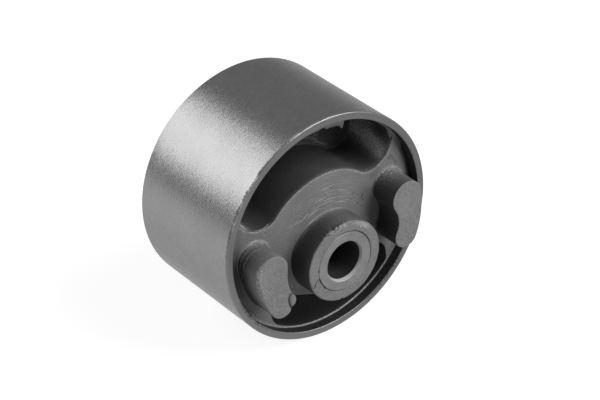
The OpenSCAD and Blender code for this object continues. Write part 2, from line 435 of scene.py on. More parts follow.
def makeRubber(name, light, dark, bloom):
    look = {"smooth": 0.42, "rough": 0.62, "bump": 0.3, "shadeAndMarkTone": 0.017, "grainShare": 0.4,
            "ringPale": 1.05, "ringRise": 1.2, "pitRise": -0.5, "shine": 0.4, "bumpDepth": 0.0006}
    material, tree, shader = newMaterial(name)
    lines = useGroup(tree, turnedLines, **{"Axis Height": -layout["tubeDrop"] * mm, "Line Pitch": 2600.0,
                                           "Line Length": 2.4})
    dots = useGroup(tree, speckle, **{"Grain Scale": 2100.0, "Patch Scale": 95.0})
    grain = dots.outputs["Grain"]
    tone = blendNode(tree, dots.outputs["Patches"], grain, look["grainShare"])
    base = colourMix(tree, rampNode(tree, tone, 0.36, 0.66), grey(dark), grey(light))
    # deep: painted shade in the openings, down the hub and lug sides and on the leg bevels, and dark cracks,
    # hairs and dots
    base = colourMix(tree, attributeOf(tree, "deep"), base, grey(look["shadeAndMarkTone"]))
    ringTone = rampNode(tree, lines.outputs["Lines"], 0.53, 0.68)
    ringTone = times(tree, attributeOf(tree, "rings"), ringTone)
    # scuff: pale bloom and scuffs, and also painted highlights on edges, the flank band and the left lug's
    # shoulder
    scuffAndSheenTone = times(tree, attributeOf(tree, "scuff"), rampNode(tree, grain, 0.36, 0.64))
    pale = mathNode(tree, "ADD", times(tree, ringTone, look["ringPale"]), scuffAndSheenTone, clamp=True)
    wire(tree, colourMix(tree, pale, base, grey(bloom)), shader.inputs["Base Color"])
    wire(tree, rampNode(tree, tone, 0.35, 0.65, look["smooth"], look["rough"]), shader.inputs["Roughness"])
    height = mathNode(tree, "ADD", grain, times(tree, dots.outputs["Pits"], look["pitRise"]))
    height = mathNode(tree, "ADD", height, times(tree, ringTone, look["ringRise"]))
    addBump(tree, shader, height, look["bump"], look["bumpDepth"])
    shader.inputs["Specular IOR Level"].default_value = look["shine"]
    return material


sleeveSteel = makeSleeveSteel()
tubeSteel = makeTubeSteel()
bodyRubber = makeRubber("bodyRubber", 0.185, 0.145, 0.4)
flashRubber = makeRubber("flashRubber", 0.09, 0.065, 0.4)
print("materials made")


# Outer sleeve, a drawn tube with broken edges and a few burrs

sleeve = {
    "segments": 720, "edge": 0.3, "innerEdge": 0.18, "edgeSteps": 5, "rows": 10, "speckWidth": 0.4,
    "tar": ((207.0, 24.0, 1.0), (22.0, 20.0, 0.8), (308.0, 22.0, 1.0)),
    "burrs": ((103.0, 1.2, 0.3), (100.5, 1.6, 0.26), (93.0, 3.0, 0.1), (131.0, 2.6, 0.26), (127.0, 1.4, 0.22),
              (140.0, 3.0, 0.14), (150.0, 3.0, 0.12), (81.0, 5.0, 0.1)),
    "polish": (82.0, 13.0), "dull": (150.0, 20.0), "line": (143.0, 27.0), "innerWear": (255.0, 32.0),
    "wobble": 0.03, "dish": 0.02, "burrLean": 0.3, "tarFrom": 0.58, "tarFull": 0.78,
}


def turnedRing(skin, centre, radius, out, count, **marks):
    turn = np.arange(count) * 2 * np.pi / count
    flat = np.column_stack((centre[0] + radius * np.cos(turn), centre[1] + radius * np.sin(turn)))
    return skin.add(flat, out, **marks)


def makeSleeve():
    skin, rings = Skin(), []
    count = sleeve["segments"]
    degrees = np.arange(count) * 360.0 / count
    outerR, innerR, half = layout["sleeveR"], layout["boreR"], layout["sleeveHalf"]
    edge, inner, speckWidth, lean = (sleeve[k] for k in ("edge", "innerEdge", "speckWidth", "burrLean"))
    ragged, flecks = noiseRow(degrees, 0.9, 3.0), noiseRow(degrees, 2.3, 6.0)
    fine = sleeve["wobble"] * noiseRow(degrees, 0.35, 8.0)
    burr = bumpsAround(degrees, sleeve["burrs"])
    specks = np.clip(burr * 6, 0, 1) * np.clip(0.8 + 1.4 * ragged, 0.3, 1)
    burr = burr * np.clip(0.5 + 1.4 * ragged, 0, 1.2)
    worn = np.clip(around(degrees, *sleeve["polish"]) * np.clip(1.2 * flecks, 0.02, 0.4) + specks, 0, 1)
    dark = around(degrees, *sleeve["dull"]) * (1 - specks)
    innerWorn = around(degrees, *sleeve["innerWear"]) * np.clip(3.5 * flecks + 0.8 * ragged, 0, 1)
    line = around(degrees, *sleeve["line"]) * np.clip(0.7 + 1.6 * flecks, 0, 1) * (1 - specks)
    tar = np.clip(bumpsAround(degrees, sleeve["tar"]), 0, 1) * np.clip(3 * flecks + 1.2 * ragged + 0.4, 0, 1)
    quarter = np.radians(np.linspace(0, 90, sleeve["edgeSteps"] + 1))

    def ring(radius, out, **marks):
        rings.append(turnedRing(skin, (0, 0), radius, out, count, **marks))

    for out in np.linspace(-half + edge, half - edge - 1.3 * speckWidth, sleeve["rows"]):
        ring(outerR, out)
    for share in (1.0, 0.0):
        ring(outerR + lean * burr * (1 - share), half - edge - share * speckWidth,
             wear=specks, film=line * (1 - 0.5 * share))
    for t in quarter[1:]:
        lift = burr * np.sin(2 * t)
        radius = outerR - edge * (1 - np.cos(t)) + fine * np.sin(t) + lean * lift
        ring(radius, half - edge + edge * np.sin(t) + lift, wear=np.maximum(worn * np.sin(2 * t), specks),
             cut=np.maximum(np.sin(t) ** 0.3, dark), film=line * np.cos(t))
    for share in (0.12, 0.25, 0.5, 0.6, 0.7, 0.8, 0.9):
        radius = outerR - edge + share * (innerR - outerR + edge + inner)
        ring(radius, half - sleeve["dish"] * np.sin(np.pi * share), cut=1.0,
             film=tar ** 2 * risen(share, sleeve["tarFrom"], sleeve["tarFull"]))
    for t in quarter[::-1]:
        radius = innerR + inner * (1 - np.cos(t)) + 0.6 * fine * np.sin(t)
        wear = innerWorn * np.sin(2 * t)
        ring(radius, half - inner + inner * np.sin(t), wear=wear, cut=1.0,
             film=np.maximum((1 - np.sin(t)) ** 3 * (1 - wear), tar))
    for out in np.linspace(half - inner, -half + inner, sleeve["rows"])[1:]:
        ring(innerR, out, cut=1.0, film=1.0)
    for t in quarter[1:]:
        ring(innerR + inner * (1 - np.cos(t)), -half + inner - inner * np.sin(t), cut=1.0, film=1 - np.sin(t))
    for t in quarter[::-1][:-1]:
        ring(outerR - edge * (1 - np.cos(t)), -half + edge - edge * np.sin(t), cut=np.sin(t) ** 2)
    skin.rows(rings + rings[:1])
    piece = makePiece("sleeve_steel", skin, sleeveSteel)
    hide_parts("outer_sleeve")


makeSleeve()


# Wear of the hub's front end: cracks round the tube, a split, a notch, a torn edge and scuffs; also the
# painted shade down the hub's side and a painted highlight at its foot
hubEnd = {
    "cracks": ((12.0, 62.0, 1.0), (76.0, 20.0, 0.5), (172.0, 4.0, 0.5), (197.0, 9.0, 0.9), (213.0, 10.0, 1.0),
               (232.0, 11.0, 1.0), (256.0, 12.0, 1.0)),
    "crackDepth": 0.7, "crackWidth": 0.32, "crackSteep": 1.6,
    "splitFrom": 187.0, "splitTo": 197.0, "splitDepth": 0.55, "splitWidth": 0.9, "splitWander": 1.2,
    "notchAt": 258.0, "notchDepth": 0.5, "notchWidth": 1.4,
    "tears": ((101.0, 3.2, -0.5), (107.5, 1.6, 0.4), (112.5, 1.8, 0.65), (95.5, 1.3, 0.35),
              (118.0, 2.0, 0.35)),
    "jagged": (94.0, 20.0), "jaggedRise": 0.55,
    "flake": ((93.5, 12.3), (95.7, 11.8), (99.0, 11.95), (102.2, 11.7), (107.0, 12.0), (110.0, 11.9),
              (113.0, 12.7)),
    "litSide": (70.0, 31.0), "sideDark": 0.9, "sideLit": 0.44,
    "paleFoot": (190.0, 40.0), "upperFoot": (100.0, 45.0),
    "plainScuff": 0.22, "scuffWidth": 1.1, "scuffRise": 0.12,
    "flakeDepth": 0.4, "flakeWidth": 0.13,
    "scuffs": ((50.0, 17.0, 11.9), (93.0, 17.0, 12.2)),
}


def crackShare(degrees):  # 0 to 1 round the tube, where the rubber has come away from it
    crack, steep = np.zeros(len(degrees)), hubEnd["crackSteep"]
    for middle, width, depth in hubEnd["cracks"]:
        crack = np.maximum(crack, depth * np.clip(steep - steep * angleGap(degrees, middle) / width, 0, 1))
    return crack * (0.75 + 0.5 * noiseRow(degrees, 0.25, 4.0))


# Inner tube for the bolt

tube = {"segments": 240, "edge": 0.12, "mouth": 0.4, "mouthDeep": 1.0}


def makeTube():
    skin = Skin()
    count, outerR, innerR, half = tube["segments"], layout["tubeR"], layout["boltR"], layout["tubeHalf"]
    edge, mouth, deep = tube["edge"], tube["mouth"], tube["mouthDeep"]
    profile = [(outerR, 0.0, 0.0, 1.0), (outerR, half - edge, 0.0, 1.0), (outerR - edge, half, 0.0, 0.7)]
    faceFrom, faceTo = outerR - 2 * edge, innerR + mouth + 0.1
    profile += [(faceFrom + s * (faceTo - faceFrom), half, 0.0, 0.0) for s in (0.0, 0.25, 0.5, 0.75, 1.0)]
    profile += [(innerR + mouth, half - 0.05, 0.6, 0.0)]
    profile += [(innerR + mouth * (1 - s), half - deep * s, 1.0, 0.0) for s in (0.15, 0.5, 0.85, 0.97)]
    # the rows below carry painted shade down the bore (the fourth value)
    profile += [(innerR, half - deep - 0.08, 0.0, 1.0)]
    profile += [(innerR, half * s, 0.0, 0.9) for s in (0.6, 0.3, 0.0)]
    whole = profile + [(r, -y, w, d) for r, y, w, d in profile[::-1][1:-1]]
    crack = crackShare(np.arange(count) * 360.0 / count)
    rings = []
    for r, y, w, d in whole:
        shade = d * (0.2 + 0.8 * crack) if r > outerR - 1.5 * edge and y > 0 else d
        rings.append(turnedRing(skin, hubCentre, r, y, count, wear=w, deep=shade))
    skin.rows(rings + rings[:1])
    piece = makePiece("tube_steel", skin, tubeSteel, sharp=50.0)
    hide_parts("inner_tube")


makeTube()


# Rubber moulding: crowned web, hub, two kidney lugs, arched openings and a membrane

rubber = {
    "faceHalf": 17.9, "crown": 1.3, "crownHalf": 20.0, "fallWidth": 2.4, "fallDrop": 1.0,
    "archTop": 17.0, "archR": 21.3, "valleyZ": 8.5, "valleyR": 6.1, "ledgeAngle": 27.0, "membraneHalf": 0.9,
    "mouthLine": ((23.6, 9.75), (25.1, 10.5), (26.1, 11.55), (26.9, 12.7), (28.1, 14.5), (28.95, 16.25)),
    "mouthTaper": 4.5, "upperCount": 190, "lowerCount": 150,
    "hubR": 12.85, "hubHalf": 27.3, "hubFillet": 0.5, "hubSegments": 480, "skirtR": 14.6,
    "shoulderR": 4.5, "shoulderReach": 21.5, "shoulderAngle": 37.0, "cornerR": 2.5,
    "lugR": 30.0, "lugTopR": 5.3, "lugTopAngle": 1.5, "lugLowR": 4.1, "lugLowAngle": -27.5,
    "lugWaistR": 8.0, "leftWaistR": 17.0,
    "lugFillet": 1.2, "lugSoft": 0.22, "leftShoulder": 1.5, "endSoft": 0.3, "edgeSoft": 0.16,
    "gridStep": 0.62, "floorSoft": 0.35, "legFrom": (-16.0, -6.0), "legTo": (31.0, 17.0), "liningDrop": 0.3,
    "creaseSoft": 0.04, "wornX": (15.0, 18.0), "wornZ": (21.0, 23.0), "wornPasses": 90,
}


def legFall(flat):  # 0 to 1 across the bevel that runs down to the sleeve beside both legs
    reach, turn = np.hypot(*flat.T), np.degrees(np.arctan2(flat[:, 1], np.abs(flat[:, 0])))
    leg = risen(turn, *rubber["legFrom"]) * risen(turn, *rubber["legTo"])
    return leg * np.clip((reach - layout["boreR"] + rubber["fallWidth"]) / rubber["fallWidth"], 0, 1)


def faceOut(flat):  # how far the web's face stands out from the middle plane
    rise = rubber["crown"] * (1 - (flat[:, 0] / rubber["crownHalf"]) ** 2)
    rise = np.where(np.hypot(*flat.T) > layout["liningR"] - 1, np.minimum(rise, -rubber["liningDrop"]), rise)
    out = rubber["faceHalf"] + (rise + np.sqrt(rise ** 2 + rubber["creaseSoft"])) / 2
    return out - rubber["fallDrop"] * (1 - np.sqrt(np.clip(1 - legFall(flat) ** 2, 0, 1)))


def wholeLoop(half, count):  # the right half, from the middle line back to it, and its mirror image
    along = np.concatenate(([0.0], np.cumsum(np.hypot(*np.diff(half, axis=0).T))))
    places = np.linspace(0, along[-1], count + 1)
    half = np.column_stack([np.interp(places, along, half[:, k]) for k in (0, 1)])
    return softLoop(np.vstack((half, mirrorLine(half)[1:-1])), 4)


def upperOutline(mouth):
    archC = np.array((0.0, rubber["archTop"] - rubber["archR"]))
    valleyZ = rubber["valleyZ"] + rubber["valleyR"]
    valleyX = math.sqrt((rubber["archR"] + rubber["valleyR"]) ** 2 - (valleyZ - archC[1]) ** 2)
    touch = math.degrees(math.atan2(valleyZ - archC[1], valleyX))
    slope, reach = math.tan(math.radians(rubber["ledgeAngle"])), layout["liningR"]
    start = valleyZ - slope * (valleyX + rubber["valleyR"])
    a, b, c = 1 + slope ** 2, 2 * slope * start, start ** 2 - reach ** 2
    wallX = (-b + math.sqrt(b * b - 4 * a * c)) / (2 * a)
    wallTurn = math.degrees(math.acos(wallX / reach))
    arch = arcLine(archC, rubber["archR"], 90, touch)
    if mouth:  # wider at the face than further in
        valley = arcLine((valleyX, valleyZ), rubber["valleyR"], touch - 180, -66)[1:]
        flank = np.array(rubber["mouthLine"])
        wallTurn = math.degrees(math.atan2(flank[-1][1], flank[-1][0]))
        valley = np.vstack((valley, flank))
    else:
        valley = arcLine((valleyX, valleyZ), rubber["valleyR"], touch - 180, 0)[1:]
    wall = arcLine((0, 0), reach, wallTurn, 90)[1 if mouth else 0:]
    return wholeLoop(np.vstack((arch, valley, wall)), rubber["upperCount"])


def lowerOutline(front):
    turn = math.degrees(math.acos((rubber["skirtR"] + rubber["shoulderR"]) / rubber["shoulderReach"]))
    touch = -rubber["shoulderAngle"] - turn
    lean = math.radians(rubber["shoulderAngle"])
    centre = hubCentre + rubber["shoulderReach"] * np.array((math.cos(lean), -math.sin(lean)))
    reach, corner = layout["liningR"], rubber["cornerR"]
    cornerX = centre[0] + rubber["shoulderR"] - corner
    cornerZ = -math.sqrt((reach - corner) ** 2 - cornerX ** 2)
    wallTurn = math.degrees(math.atan2(cornerZ, cornerX))
    half = np.vstack((
        arcLine(hubCentre, rubber["skirtR"], -90, touch),
        arcLine(centre, rubber["shoulderR"], touch + 180, 0)[1:],
        arcLine((cornerX, cornerZ), corner, 0, wallTurn), arcLine((0, 0), reach, wallTurn, -90)[1:]))
    loop = wholeLoop(half, rubber["lowerCount"])
    if front:  # softer at the left corner
        worn = (risen(-loop[:, 0], *rubber["wornX"]) * risen(-loop[:, 1], *rubber["wornZ"]))[:, None]
        loop = loop * (1 - worn) + softLoop(loop, rubber["wornPasses"]) * worn
    return counterClockwise(loop)


def lugOutline(waistR):
    def lobe(angle, radius):
        a = math.radians(angle)
        return (rubber["lugR"] - radius) * np.array((math.cos(a), math.sin(a)))
    topA, lowA, topR, lowR = (rubber[k] for k in ("lugTopAngle", "lugLowAngle", "lugTopR", "lugLowR"))
    top, low = lobe(topA, topR), lobe(lowA, lowR)
    gap = np.linalg.norm(top - low)
    way = (top - low) / gap
    s = ((lowR + waistR) ** 2 - (topR + waistR) ** 2 + gap ** 2) / (2 * gap)
    waist = low + s * way + math.sqrt((lowR + waistR) ** 2 - s ** 2) * np.array((-way[1], way[0]))
    topEnd = math.degrees(math.atan2(*(waist - top)[::-1])) % 360
    lowEnd = math.degrees(math.atan2(*(waist - low)[::-1])) % 360
    line = np.vstack((
        arcLine((0, 0), rubber["lugR"], lowA, topA), arcLine(top, topR, topA, topEnd)[1:],
        arcLine(waist, waistR, topEnd - 180, lowEnd - 180)[1:], arcLine(low, lowR, lowEnd, lowA + 360)[1:-1]))
    return counterClockwise(softLoop(evenLoop(line, 0.3), 3))


def addHub(skin, baseRing, front):
    count, hubR, fillet, soft = rubber["hubSegments"], rubber["hubR"], rubber["hubFillet"], rubber["endSoft"]
    turn = np.arange(count) * 2 * np.pi / count
    degrees, spoke = np.degrees(turn), np.column_stack((np.cos(turn), np.sin(turn)))
    base = faceOut(hubCentre + (hubR + fillet) * spoke)
    uneven, crack, footLine = np.zeros(count), np.zeros(count), np.zeros(count)
    if front:
        uneven = 0.10 * np.array([noise.noise((3.2 * c, 3.2 * s, 5.0)) for c, s in spoke])
        uneven += 0.05 * np.array([noise.noise((14 * c, 14 * s, 9.0)) for c, s in spoke])
        uneven += (0.6 + 0.4 * noiseRow(degrees, 0.8, 2.0)) * bumpsAround(degrees, hubEnd["tears"])
        uneven += hubEnd["jaggedRise"] * noiseRow(degrees, 1.7, 5.0) * around(degrees, *hubEnd["jagged"])
        uneven -= hubEnd["notchDepth"] * around(degrees, hubEnd["notchAt"], hubEnd["notchWidth"])
        crack, footLine = crackShare(degrees), around(degrees, *hubEnd["paleFoot"])
    rings = [baseRing]

    def ring(radius, out, **marks):
        rings.append(skin.add(hubCentre + spoke * np.reshape(radius, (-1, 1)), out, **marks))

    # painted shade down the hub's side, lightest towards the lamp (litSide) and at the top (upperFoot)
    dusk = hubEnd["sideDark"] - hubEnd["sideLit"] * around(degrees, *hubEnd["litSide"])
    upper = around(degrees, *hubEnd["upperFoot"])
    # the first fillet row carries a painted highlight on the left side (paleFoot)
    for step, t in enumerate(quarterSteps(6)):
        ring(hubR + fillet * (1 - np.sin(t)), base + fillet * (1 - np.cos(t)), rings=upper,
             deep=dusk * np.sin(t) ** 2 * (1 - 0.8 * upper), scuff=footLine if step == 0 else 0.0)
    sideTop = rubber["hubHalf"] - soft
    for share in np.linspace(0, 1, 9)[1:]:
        ring(hubR + uneven * share ** 10, (base + fillet) * (1 - share) + sideTop * share,
             deep=dusk * (1 - 0.3 * share ** 4) * (1 - 0.6 * upper * bellCurve(share, 0, 0.15)))
    for t in quarterSteps(4):
        ring(hubR + uneven - soft * (1 - np.cos(t)), sideTop + soft * np.sin(t))
    tubeR, width, edgeR = layout["tubeR"], hubEnd["crackWidth"], hubR - soft
    flakeTurn, flakeR = trackPoints(hubEnd["flake"], 80).T
    flakeTurn = np.radians(flakeTurn)
    flake = hubCentre + np.column_stack((flakeR * np.cos(flakeTurn), flakeR * np.sin(flakeTurn)))
    for share in list(np.linspace(0, 1, 18)[1:-1]) + [0.955, 0.97, 0.985, 1.0]:
        radius = edgeR + uneven * (1 - share) + share * (tubeR - edgeR)
        out = np.full(count, rubber["hubHalf"])
        scuffAndHighlightMark, dark = np.zeros(count), np.zeros(count)
        if front:
            scuffAndHighlightMark += hubEnd["plainScuff"]
            split = hubEnd["splitFrom"] + (hubEnd["splitTo"] - hubEnd["splitFrom"]) * (1 - share)
            split += hubEnd["splitWander"] * math.sin(share * 9)
            splitMark = around(degrees, split, hubEnd["splitWidth"])
            crackMark = crack * np.clip(1 - (radius - tubeR) / width, 0, 1)
            out -= hubEnd["splitDepth"] * splitMark + hubEnd["crackDepth"] * crackMark
            flat = hubCentre + spoke * radius[:, None]
            flakeMark = bellCurve(gapTo(flat, flake), 0, hubEnd["flakeWidth"])
            out -= hubEnd["flakeDepth"] * flakeMark
            dark = np.clip(splitMark + 1.6 * crackMark + flakeMark, 0, 1)
            out += 0.05 * smoothNoise(flat, 1.6, 3.0) + 0.03 * smoothNoise(flat, 0.5, 6.0)
            for middle, spread, at in hubEnd["scuffs"]:
                patch = around(degrees, middle, spread) * bellCurve(radius, at, hubEnd["scuffWidth"])
                scuffAndHighlightMark = np.maximum(scuffAndHighlightMark, 1.4 * patch)
                out += hubEnd["scuffRise"] * patch
        ring(radius, out, scuff=0.8 * scuffAndHighlightMark * (1 - dark), deep=dark)
    skin.rows(rings)
    return rings[-1]


# The left lug's front end has a soft outer shoulder, folds, and a flap of flash with a gap beside it.
lugFlap = {
    "middle": (-18.4, -12.0), "spread": 2.2, "bulge": 0.75, "gapDepth": 0.6, "gapWidth": 0.2,
    "dent": (-19.7, -14.5), "dentSize": 0.9, "dentDepth": 0.7,
    "gap": ((-18.65, -9.23), (-19.78, -9.62), (-20.42, -10.53), (-20.65, -11.67), (-20.55, -12.94),
            (-20.24, -14.11)),
}
# Painted shade down the lugs' sides, lightest where they face the lamp (leftLit, rightLit, rightSun) and
# darkest on the lee side, and a painted sheen on the left lug's outer side
lugLook = {
    "shoulderFrom": 0.2, "shoulderLow": (-11.0, -6.0), "fuzz": 0.10, "fuzzPace": 1.3, "fuzzSeed": 7.0,
    "roughLow": (-2.0, 1.0), "rough": 0.9, "dark": 0.96, "leftLit": 0.5, "rightLit": 0.42,
    "rightSun": (0.6, 0.8),
    "leeLow": (-8.0, -4.0), "sheen": 0.4, "foldWay": (-0.8, 0.6), "foldPace": 30, "foldWander": 2.6,
    "foldRise": 0.12, "foldPale": 0.45, "endScuff": 0.22,
}


def trackPoints(line, count):
    line = np.array(line)
    steps = np.linspace(0, len(line) - 1, count)
    return np.column_stack([np.interp(steps, np.arange(len(line)), line[:, k]) for k in (0, 1)])


def sideOf(path):
    way = np.gradient(path, axis=0)
    return np.column_stack((-way[:, 1], way[:, 0])) / np.linalg.norm(way, axis=1)[:, None]


def besideTrack(line, count, gap):  # points on a line and to both sides of it
    path = trackPoints(line, count)
    return np.vstack([path + k * gap * sideOf(path) for k in (-1, 0, 1)])


def outwardOf(loop):
    way = np.roll(loop, -1, 0) - np.roll(loop, 1, 0)
    return np.column_stack((way[:, 1], -way[:, 0])) / np.linalg.norm(way, axis=1)[:, None]


def footFillet(loop):  # tighter on the side that faces the left
    return rubber["lugFillet"] * (1 - 0.6 * np.clip(-outwardOf(loop)[:, 0], 0, 1))


def addLug(skin, loop, baseRing, left, front):
    fillet = footFillet(loop)
    base = faceOut(grownLoop(loop, fillet))
    outward, worn = outwardOf(loop), left and front
    soft = np.full(len(loop), rubber["lugSoft"])
    bulge, fuzz = np.zeros(len(loop)), np.zeros(len(loop))
    if worn:
        leftward = np.clip(-outward[:, 0] - lugLook["shoulderFrom"], 0, 1)
        soft += rubber["leftShoulder"] * leftward * risen(loop[:, 1], *lugLook["shoulderLow"])
        soft = np.convolve(np.concatenate((soft[-6:], soft, soft[:6])), np.ones(13) / 13, "valid")
        bulge = lugFlap["bulge"] * nearTo(loop, lugFlap["middle"], lugFlap["spread"])
        bulge -= lugFlap["dentDepth"] * nearTo(loop, lugFlap["dent"], lugFlap["dentSize"])
    if front:
        fuzz = lugLook["fuzz"] * smoothNoise(loop * lugLook["fuzzPace"], 1.0, lugLook["fuzzSeed"])
    rings = [baseRing]

    def ring(grow, out, **marks):
        rings.append(skin.add(grownLoop(loop, grow), out, **marks))

    rough = risen(loop[:, 1], *lugLook["roughLow"]) * (lugLook["rough"] if front else 0.0)
    lit = outward[:, 1] if left else outward @ np.array(lugLook["rightSun"])
    dark = lugLook["dark"] - lugLook["leftLit" if left else "rightLit"] * np.clip(lit, 0, 1)
    lee = np.clip(-outward[:, 0], 0, 1)  # painted shade on the side that faces left, down to its foot
    lee = lee * (risen(loop[:, 1], *lugLook["leeLow"]) if left else 1.0)
    for step, t in enumerate(quarterSteps(7)):
        hair = np.clip(0.15 + (step % 2) * (0.6 + 2.0 * smoothNoise(loop, 1.7, 11.0 + step)), 0, 1)
        hair = hair * (1.0 if left else 1.5)
        ring(fillet * (1 - np.sin(t)) + fuzz * np.sin(2 * t), base + fillet * (1 - np.cos(t)),
             scuff=rough * hair * (1 - lee), deep=dark * np.sin(t) ** (2 - 1.6 * lee))
    sideTop = rubber["hubHalf"] - soft
    sheen = lugLook["sheen"] if worn else 0.0
    upLeft = np.clip(outward @ np.array(lugLook["foldWay"]), 0, 1) * (1.0 if worn else 0.0)
    wander = lugLook["foldWander"] * smoothNoise(loop, 2.6, 15.0)
    for share in np.linspace(0, 1, 25)[1:]:
        fold = upLeft * np.sin(lugLook["foldPace"] * share + wander) * np.clip(1.2 - 2 * share, 0, 1)
        crest = np.clip(fold, 0, 1)
        # the sheen term is a painted highlight on the left lug's outer side
        scuff = (0.4 if left else 1.0) * rough * (1 - share) ** 2 * (1 - lee) + sheen * lee * share ** 2
        fade = np.clip(1.5 - 2.0 * share, 0, 1) if left else 1 - 0.1 * share
        ring(bulge * share ** 3 + lugLook["foldRise"] * fold, (base + fillet) * (1 - share) + sideTop * share,
             scuff=scuff + lugLook["foldPale"] * crest, deep=dark * fade * (1 - crest))
    # painted highlight round the end's rounded edge, strongest on the left shoulder
    for t in quarterSteps(6)[:-1]:
        ring(bulge - soft * (1 - np.cos(t)), sideTop + soft * np.sin(t),
             scuff=np.clip(1.2 * soft - 0.4, 0.25 if front else 0.0, 1))
    skin.rows(rings)
    spots = besideTrack(lugFlap["gap"], 34, 0.17) if worn else None
    flat, triangles, (edge,) = fillBetween(grownLoop(loop, bulge - soft), [], 0.6, spots)
    out = rubber["hubHalf"] + 0.04 * smoothNoise(flat, 1.1, 2.0)
    out[edge] = rubber["hubHalf"]
    gapMark = np.zeros(len(flat))
    if worn:
        gapMark = bellCurve(gapTo(flat, trackPoints(lugFlap["gap"], 60)), 0, lugFlap["gapWidth"])
        out -= lugFlap["gapDepth"] * gapMark
    made = skin.add(flat, out, scuff=(lugLook["endScuff"] if front else 0.0) * (1 - gapMark), deep=gapMark)
    skin.band(rings[-1], made[edge])
    skin.fill(made, triangles)


# Small marks on the front face: pits, a scratch, hair lines and dots, with painted shadows (shades, leftDusk,
# legDusk) and painted light (litPatch, mouthPale, liningPale)
faceMarks = {
    "pits": ((3.69, 11.18, 0.42, 0.35), (12.91, 3.67, 0.35, 0.2), (13.83, -1.16, 0.4, 0.2),
             (-19.5, 6.9, 0.3, 0.15)),
    "scratch": ((-12.35, 5.4), (-10.15, 5.62), (-7.61, 5.65)), "scratchWidth": 0.22, "scratchPale": 0.8,
    "hairs": (((26.9, 10.1), (27.5, 9.2), (28.0, 8.1), (29.0, 6.0)), ((25.9, 9.6), (26.5, 9.3), (26.9, 8.7))),
    "hairWidth": 0.13, "hairDark": 0.8, "shades": ((15.8, 3.5, 2.6), (20.0, 7.0, 2.2)), "shadeDark": 0.3,
    "dots": 8, "dotsFrom": (9.0, -3.0), "dotsTo": (15.5, 7.0), "dotSize": 0.13, "dotDark": 0.9, "dotSeed": 4,
    "litPatch": (-12.6, -15.0), "litPatchSize": 3.0, "litPatchPale": 0.6, "mouthPale": 0.5,
    "ringFrom": (13.4, 14.9), "ringTo": (27.0, 21.0), "ringSide": (86.0, 37.0),
    "liningPale": 1.3, "liningFrom": 33.0, "leftDusk": (28.4, 29.8), "leftTurn": (-3, 17), "legDusk": 0.6,
}


# Curls of flash on the front of the membrane, near the right half of the arch.
membraneCurls = {
    "lines": (((9.0, 16.9), (10.6, 16.7), (12.0, 15.5), (13.2, 13.9), (14.6, 12.4), (16.6, 10.8)),
              ((12.4, 15.5), (13.0, 16.1), (13.8, 15.6), (13.5, 14.8), (12.7, 14.8))),
    "width": 0.2, "rise": 0.25,
}


# Pale band down each flank of the upper opening, painted light where the steep flank catches the lamp; its
# crest leans with the depth, in x and in z.
flankBand = {"crest": ((24.85, 0.105), (10.75, 0.29)), "width": 1.7, "widen": 0.09, "beside": 0.78}


def pitPoints():
    spots = []
    for x, z, size, _ in faceMarks["pits"]:
        spots.append((x, z))
        for share, count in ((0.5, 6), (1.0, 10)):
            for a in np.arange(count) * 2 * np.pi / count:
                spots.append((x + size * share * math.cos(a), z + size * share * math.sin(a)))
    for line in faceMarks["hairs"]:
        spots += list(besideTrack(line, 30, 0.15))
    return np.vstack((spots, dotPlaces()))


def dotPlaces():
    draw = np.random.default_rng(faceMarks["dotSeed"])
    return draw.uniform(faceMarks["dotsFrom"], faceMarks["dotsTo"], (faceMarks["dots"], 2))


